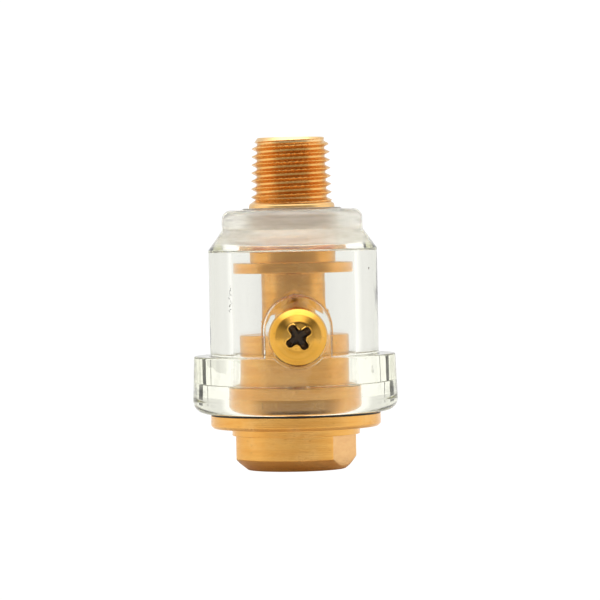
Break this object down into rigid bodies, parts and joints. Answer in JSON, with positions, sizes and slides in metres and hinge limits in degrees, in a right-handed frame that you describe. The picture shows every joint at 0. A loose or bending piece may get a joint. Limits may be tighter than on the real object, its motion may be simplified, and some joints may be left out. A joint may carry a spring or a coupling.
{
  "type": "in-line air tool lubricator",
  "caption": "In-line air tool oiler with a brass flow stem, a clear screw-on oil bowl, a fill screw and threaded quarter-inch ports.",
  "frame": {"origin": "on the flow axis, in the bottom face of the inlet hub", "axes": "+Z along the flow axis from the inlet to the outlet, -Y towards the fill screw"},
  "size_m": [0.0342, 0.0362, 0.0552],
  "materials": {
    "brass_base": "satin",
    "brass_stem": "satin",
    "brass_screw": "gloss",
    "clear_bowl": "polished",
    "clear_seal": "satin",
    "seal_rubber": "matte",
    "felt": "matte"
  },
  "bodies": {
    "core": {"inlet_base": "brass_base", "outlet_stem": "brass_stem", "stem_seal": "seal_rubber", "bowl_gasket": "seal_rubber", "felt_wick": "felt"},
    "neck_seal": {"neck_seal": "clear_seal"},
    "bowl": {"bowl": "clear_bowl"},
    "fill_seal": {"fill_screw_seal": "seal_rubber"},
    "fill_screw": {"fill_screw": "brass_screw"},
    "metering_seal": {"metering_seal": "seal_rubber"},
    "metering_screw": {"metering_screw": "brass_screw"}
  },
  "joints": [
    {"name": "bowl_lift", "type": "slide", "parent": "core", "child": "neck_seal", "axis": [0, 0, 1], "range_m": [0, 0.0045]},
    {"name": "bowl_turn", "type": "hinge", "parent": "neck_seal", "child": "bowl", "pos_m": [0, 0, 0.0383], "axis": [0, 0, 1], "range_deg": [0, 1080]},
    {"name": "fill_screw_lift", "type": "slide", "parent": "bowl", "child": "fill_seal", "axis": [0, -1, 0], "range_m": [0, 0.004]},
    {"name": "fill_screw_turn", "type": "hinge", "parent": "fill_seal", "child": "fill_screw", "pos_m": [0, -0.013, 0.0225], "axis": [0, -1, 0], "range_deg": [0, 1800]},
    {"name": "metering_lift", "type": "slide", "parent": "core", "child": "metering_seal", "axis": [0, 0, 1], "range_m": [0, 0.0014]},
    {"name": "metering_turn", "type": "hinge", "parent": "metering_seal", "child": "metering_screw", "pos_m": [0, 0, 0.0298], "axis": [0, 0, 1], "range_deg": [0, 720]}
  ],
  "couplings": [
    {"joint": "bowl_turn", "follows": "bowl_lift", "rad_per_m": 4188.8},
    {"joint": "fill_screw_turn", "follows": "fill_screw_lift", "rad_per_m": 7854},
    {"joint": "metering_turn", "follows": "metering_lift", "rad_per_m": 8976}
  ]
}
